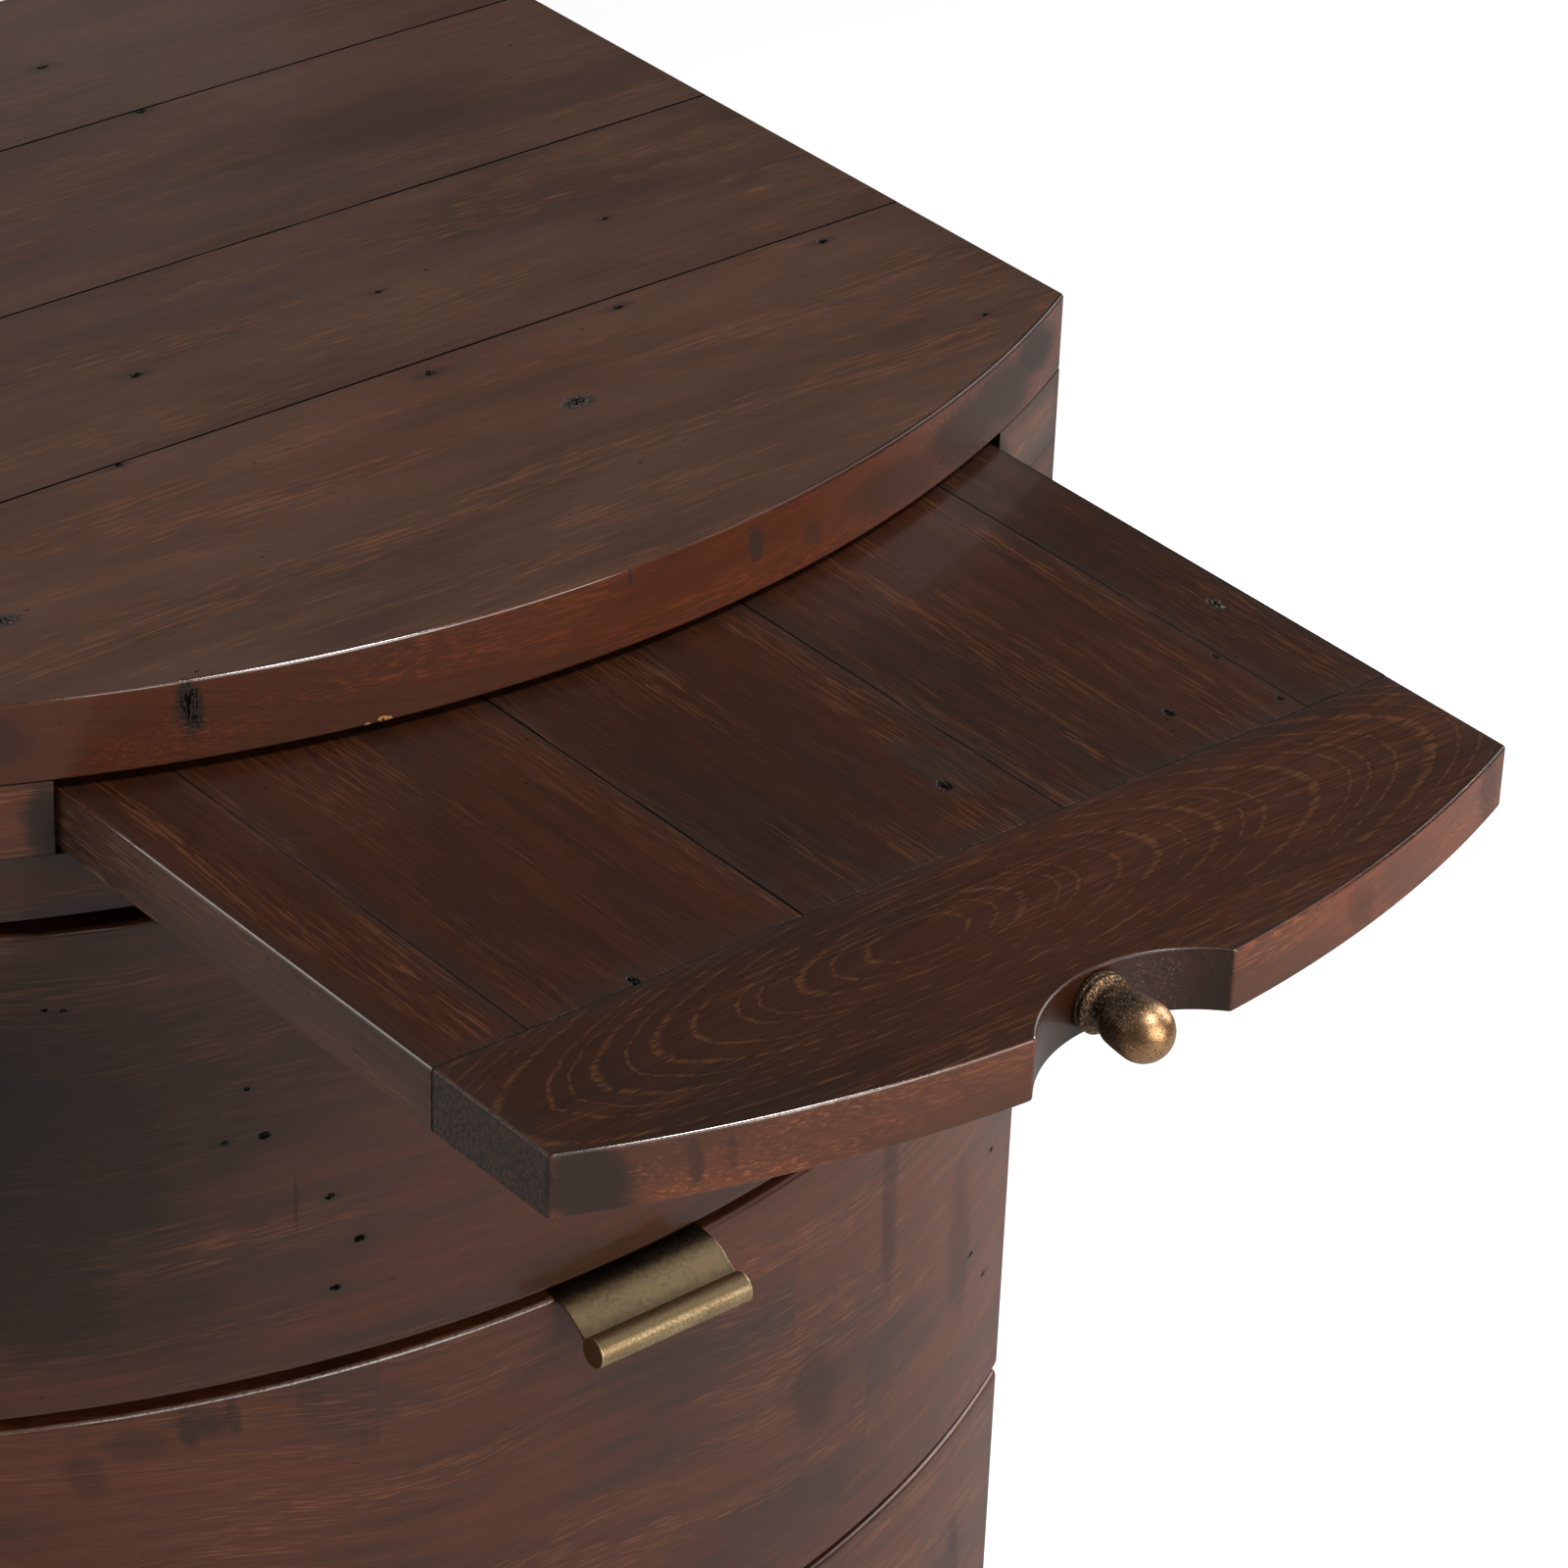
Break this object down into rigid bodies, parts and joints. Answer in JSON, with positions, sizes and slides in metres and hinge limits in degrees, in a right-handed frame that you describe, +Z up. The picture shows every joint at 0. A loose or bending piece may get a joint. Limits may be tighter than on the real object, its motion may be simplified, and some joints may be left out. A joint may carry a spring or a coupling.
{
  "type": "nightstand",
  "caption": "Bow front nightstand: a plank top and a pull-out plank tray with a finger notch and a knob, over full-width bowed drawers with tab pulls.",
  "frame": {"origin": "On the floor, in the middle of the part's bounding box with the tray pulled out as at rest", "axes": "+X to the right seen from the front, +Y towards the back, +Z up; the front faces -Y"},
  "size_m": [0.56, 0.8538, 0.78],
  "materials": {
    "top_wood": "satin dark walnut stain and glaze on reclaimed pine",
    "case_wood": "satin dark walnut stain and glaze on reclaimed pine",
    "front_wood": "satin dark walnut stain and glaze on reclaimed pine",
    "tray_wood": "satin dark walnut stain and glaze on reclaimed pine",
    "inner_wood": "thinly stained pine",
    "box_wood": "clear lacquered pine",
    "pull_bronze": "brushed, darkened bronze with bright rubbed edges",
    "knob_bronze": "darkened bronze, rubbed bright on the round end",
    "slide_steel": "zinc plated",
    "stud_steel": "zinc plated",
    "glide_plastic": "matt nylon"
  },
  "bodies": {
    "case": {"top_board_1": "top_wood", "top_board_2": "top_wood", "top_board_3": "top_wood", "top_board_4": "top_wood", "side_panel_left": "case_wood", "side_panel_right": "case_wood", "back_panel": "inner_wood", "bottom_board": "inner_wood", "divider_rail_upper": "inner_wood", "divider_rail_lower": "inner_wood", "apron_stile_left": "case_wood", "apron_stile_right": "case_wood", "slot_rail": "case_wood", "tray_runner_left": "inner_wood", "tray_runner_right": "inner_wood", "tray_kicker_left": "inner_wood", "tray_kicker_right": "inner_wood", "plinth_front": "case_wood", "plinth_left": "case_wood", "plinth_right": "case_wood", "plinth_back": "case_wood", "plinth_stretcher": "inner_wood", "floor_glides": "glide_plastic", "case_slide_members": "slide_steel"},
    "tray": {"tray_front_rail": "tray_wood", "tray_stile_left": "tray_wood", "tray_stile_right": "tray_wood", "tray_board_1": "tray_wood", "tray_board_2": "tray_wood", "tray_board_3": "tray_wood", "tray_back_rail": "tray_wood", "tray_stop": "inner_wood", "tray_knob": "knob_bronze", "knob_stud": "stud_steel"},
    "drawer_1": {"drawer_1_front": "front_wood", "drawer_1_side_left": "box_wood", "drawer_1_side_right": "box_wood", "drawer_1_back": "box_wood", "drawer_1_bottom": "box_wood", "drawer_1_pull": "pull_bronze", "drawer_1_slides": "slide_steel"},
    "drawer_1_slide_links": {"drawer_1_links": "slide_steel"},
    "drawer_2": {"drawer_2_front": "front_wood", "drawer_2_side_left": "box_wood", "drawer_2_side_right": "box_wood", "drawer_2_back": "box_wood", "drawer_2_bottom": "box_wood", "drawer_2_pull": "pull_bronze", "drawer_2_slides": "slide_steel"},
    "drawer_2_slide_links": {"drawer_2_links": "slide_steel"},
    "drawer_3": {"drawer_3_front": "front_wood", "drawer_3_side_left": "box_wood", "drawer_3_side_right": "box_wood", "drawer_3_back": "box_wood", "drawer_3_bottom": "box_wood", "drawer_3_pull": "pull_bronze", "drawer_3_slides": "slide_steel"},
    "drawer_3_slide_links": {"drawer_3_links": "slide_steel"}
  },
  "joints": [
    {"name": "tray_slide", "type": "slide", "parent": "case", "child": "tray", "axis": [0, -1, 0], "range_m": [-0.285, 0]},
    {"name": "drawer_1_slide", "type": "slide", "parent": "case", "child": "drawer_1", "axis": [0, -1, 0], "range_m": [0, 0.36]},
    {"name": "drawer_1_links_slide", "type": "slide", "parent": "case", "child": "drawer_1_slide_links", "axis": [0, -1, 0], "range_m": [0, 0.18]},
    {"name": "drawer_2_slide", "type": "slide", "parent": "case", "child": "drawer_2", "axis": [0, -1, 0], "range_m": [0, 0.36]},
    {"name": "drawer_2_links_slide", "type": "slide", "parent": "case", "child": "drawer_2_slide_links", "axis": [0, -1, 0], "range_m": [0, 0.18]},
    {"name": "drawer_3_slide", "type": "slide", "parent": "case", "child": "drawer_3", "axis": [0, -1, 0], "range_m": [0, 0.36]},
    {"name": "drawer_3_links_slide", "type": "slide", "parent": "case", "child": "drawer_3_slide_links", "axis": [0, -1, 0], "range_m": [0, 0.18]}
  ],
  "couplings": [
    {"joint": "drawer_1_links_slide", "follows": "drawer_1_slide", "ratio": 0.5},
    {"joint": "drawer_2_links_slide", "follows": "drawer_2_slide", "ratio": 0.5},
    {"joint": "drawer_3_links_slide", "follows": "drawer_3_slide", "ratio": 0.5}
  ]
}
